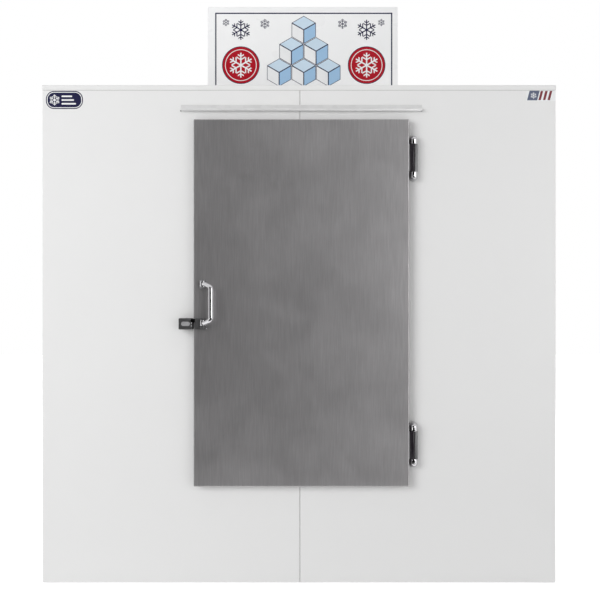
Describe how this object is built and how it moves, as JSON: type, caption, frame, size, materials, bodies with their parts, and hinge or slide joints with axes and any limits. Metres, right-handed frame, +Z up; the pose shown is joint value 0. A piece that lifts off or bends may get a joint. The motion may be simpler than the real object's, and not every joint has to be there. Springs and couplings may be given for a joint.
{
  "type": "ice merchandiser freezer",
  "caption": "Walk-up insulated cabinet for bagged ice, with one hinged front door, a blank header sign, a fan-coil cooler and a condensing unit in its base.",
  "frame": {"origin": "middle of the footprint, on the floor under the skids", "axes": "+Z up, the door faces -Y and its hinges are on the +X side"},
  "size_m": [2.1378, 1.6483, 2.455],
  "materials": {
    "white_paint": "smooth white baked enamel on sheet steel",
    "frame_steel": "dark grey paint on welded tube",
    "zinc_sheet": "galvanised sheet with a faint spangle",
    "foam": null,
    "door_sheet": "stucco-embossed coated sheet",
    "jamb_plastic": "smooth light grey moulding",
    "sign_board": "printed board, satin",
    "black_steel": "black enamel",
    "rubber": "matt black rubber",
    "fin_aluminium": "mill finish sheet",
    "copper": "bare copper tube, lightly tarnished",
    "grey_box": "grey enamel",
    "black_plastic": "moulded, fine texture",
    "drain_plastic": "white extruded tube",
    "guard_wire": "zinc-plated wire",
    "frosted_glass": "frosted",
    "chrome": "polished chrome plate",
    "hinge_sleeve": "dark smooth sleeve over steel",
    "dark_steel": "plain steel",
    "dark_casting": "dark grey coated die casting"
  },
  "bodies": {
    "cabinet": {"base_frame": "frame_steel", "base_deck": "zinc_sheet", "floor_pan": "zinc_sheet", "front_skin_left": "white_paint", "front_skin_right": "white_paint", "side_skin_left": "white_paint", "side_skin_right": "white_paint", "back_skin": "white_paint", "roof_cap": "white_paint", "foam_front": "foam", "foam_walls": "foam", "foam_roof": "foam", "foam_floor": "foam", "liner_front": "zinc_sheet", "liner_walls": "zinc_sheet", "liner_ceiling": "zinc_sheet", "liner_floor": "zinc_sheet", "door_jamb": "jamb_plastic", "drip_rail": "zinc_sheet", "sign_panel": "sign_board", "sign_brackets": "zinc_sheet", "rear_panel": "white_paint", "panel_screws": "zinc_sheet", "compressor": "black_steel", "compressor_mounts": "rubber", "condenser_coil": "fin_aluminium", "fan_shroud": "black_steel", "condenser_fan_motor": "black_steel", "refrigerant_lines": "copper", "control_box": "grey_box", "cable_gland": "black_plastic", "drain_tube": "drain_plastic", "evaporator_housing": "fin_aluminium", "evaporator_coil": "fin_aluminium", "evaporator_fan_motors": "black_steel", "evaporator_fan_guards": "guard_wire", "evaporator_drain_pan": "fin_aluminium", "lamp_base": "grey_box", "lamp_globe": "frosted_glass", "floor_racks": "fin_aluminium", "hinge_bases": "chrome", "hinge_pins": "dark_steel", "keeper_case": "dark_casting", "keeper_magnet": "dark_steel"},
    "door": {"door_skin": "door_sheet", "door_foam": "foam", "door_liner": "zinc_sheet", "door_gasket": "rubber", "hinge_leaves": "hinge_sleeve", "latch_case": "dark_casting", "handle_bracket": "chrome"},
    "handle": {"pull_handle": "chrome"},
    "tongue": {"latch_tongue": "chrome"},
    "key": {"lock_plug": "chrome"},
    "bolt": {"lock_bolt": "chrome"},
    "condenser_fan": {"condenser_fan": "fin_aluminium"},
    "cooler_fan_left": {"evaporator_fan_left": "fin_aluminium"},
    "cooler_fan_right": {"evaporator_fan_right": "fin_aluminium"},
    "knob": {"thermostat_knob": "black_plastic"}
  },
  "joints": [
    {"name": "door_hinge", "type": "hinge", "parent": "cabinet", "child": "door", "pos_m": [0.4685, -0.754, 1.164], "axis": [0, 0, 1], "range_deg": [0, 110]},
    {"name": "handle_turn", "type": "hinge", "parent": "door", "child": "handle", "pos_m": [-0.3955, -0.782, 1.1615], "axis": [0, 0, -1], "range_deg": [0, 36], "stiffness_Nm_per_rad": 1.2},
    {"name": "tongue_slide", "type": "slide", "parent": "door", "child": "tongue", "axis": [1, 0, 0], "range_m": [0, 0.0075]},
    {"name": "key_turn", "type": "hinge", "parent": "door", "child": "key", "pos_m": [-0.389, -0.7728, 1.0625], "axis": [1, 0, 0], "range_deg": [0, 90]},
    {"name": "bolt_slide", "type": "slide", "parent": "door", "child": "bolt", "axis": [-1, 0, 0], "range_m": [0, 0.0152]},
    {"name": "condenser_fan_spin", "type": "hinge", "parent": "cabinet", "child": "condenser_fan", "pos_m": [0.23, 0.657, 0.148], "axis": [0, 1, 0], "continuous": true},
    {"name": "cooler_fan_left_spin", "type": "hinge", "parent": "cabinet", "child": "cooler_fan_left", "pos_m": [-0.25, 0.348, 1.814], "axis": [0, -1, 0], "continuous": true},
    {"name": "cooler_fan_right_spin", "type": "hinge", "parent": "cabinet", "child": "cooler_fan_right", "pos_m": [0.25, 0.348, 1.814], "axis": [0, -1, 0], "continuous": true},
    {"name": "thermostat_turn", "type": "hinge", "parent": "cabinet", "child": "knob", "pos_m": [0.92, -0.358, 1.69], "axis": [-1, 0, 0], "range_deg": [0, 270]}
  ],
  "couplings": [
    {"joint": "tongue_slide", "follows": "handle_turn", "m_per_rad": 0.0115},
    {"joint": "bolt_slide", "follows": "key_turn", "m_per_rad": 0.00955}
  ]
}
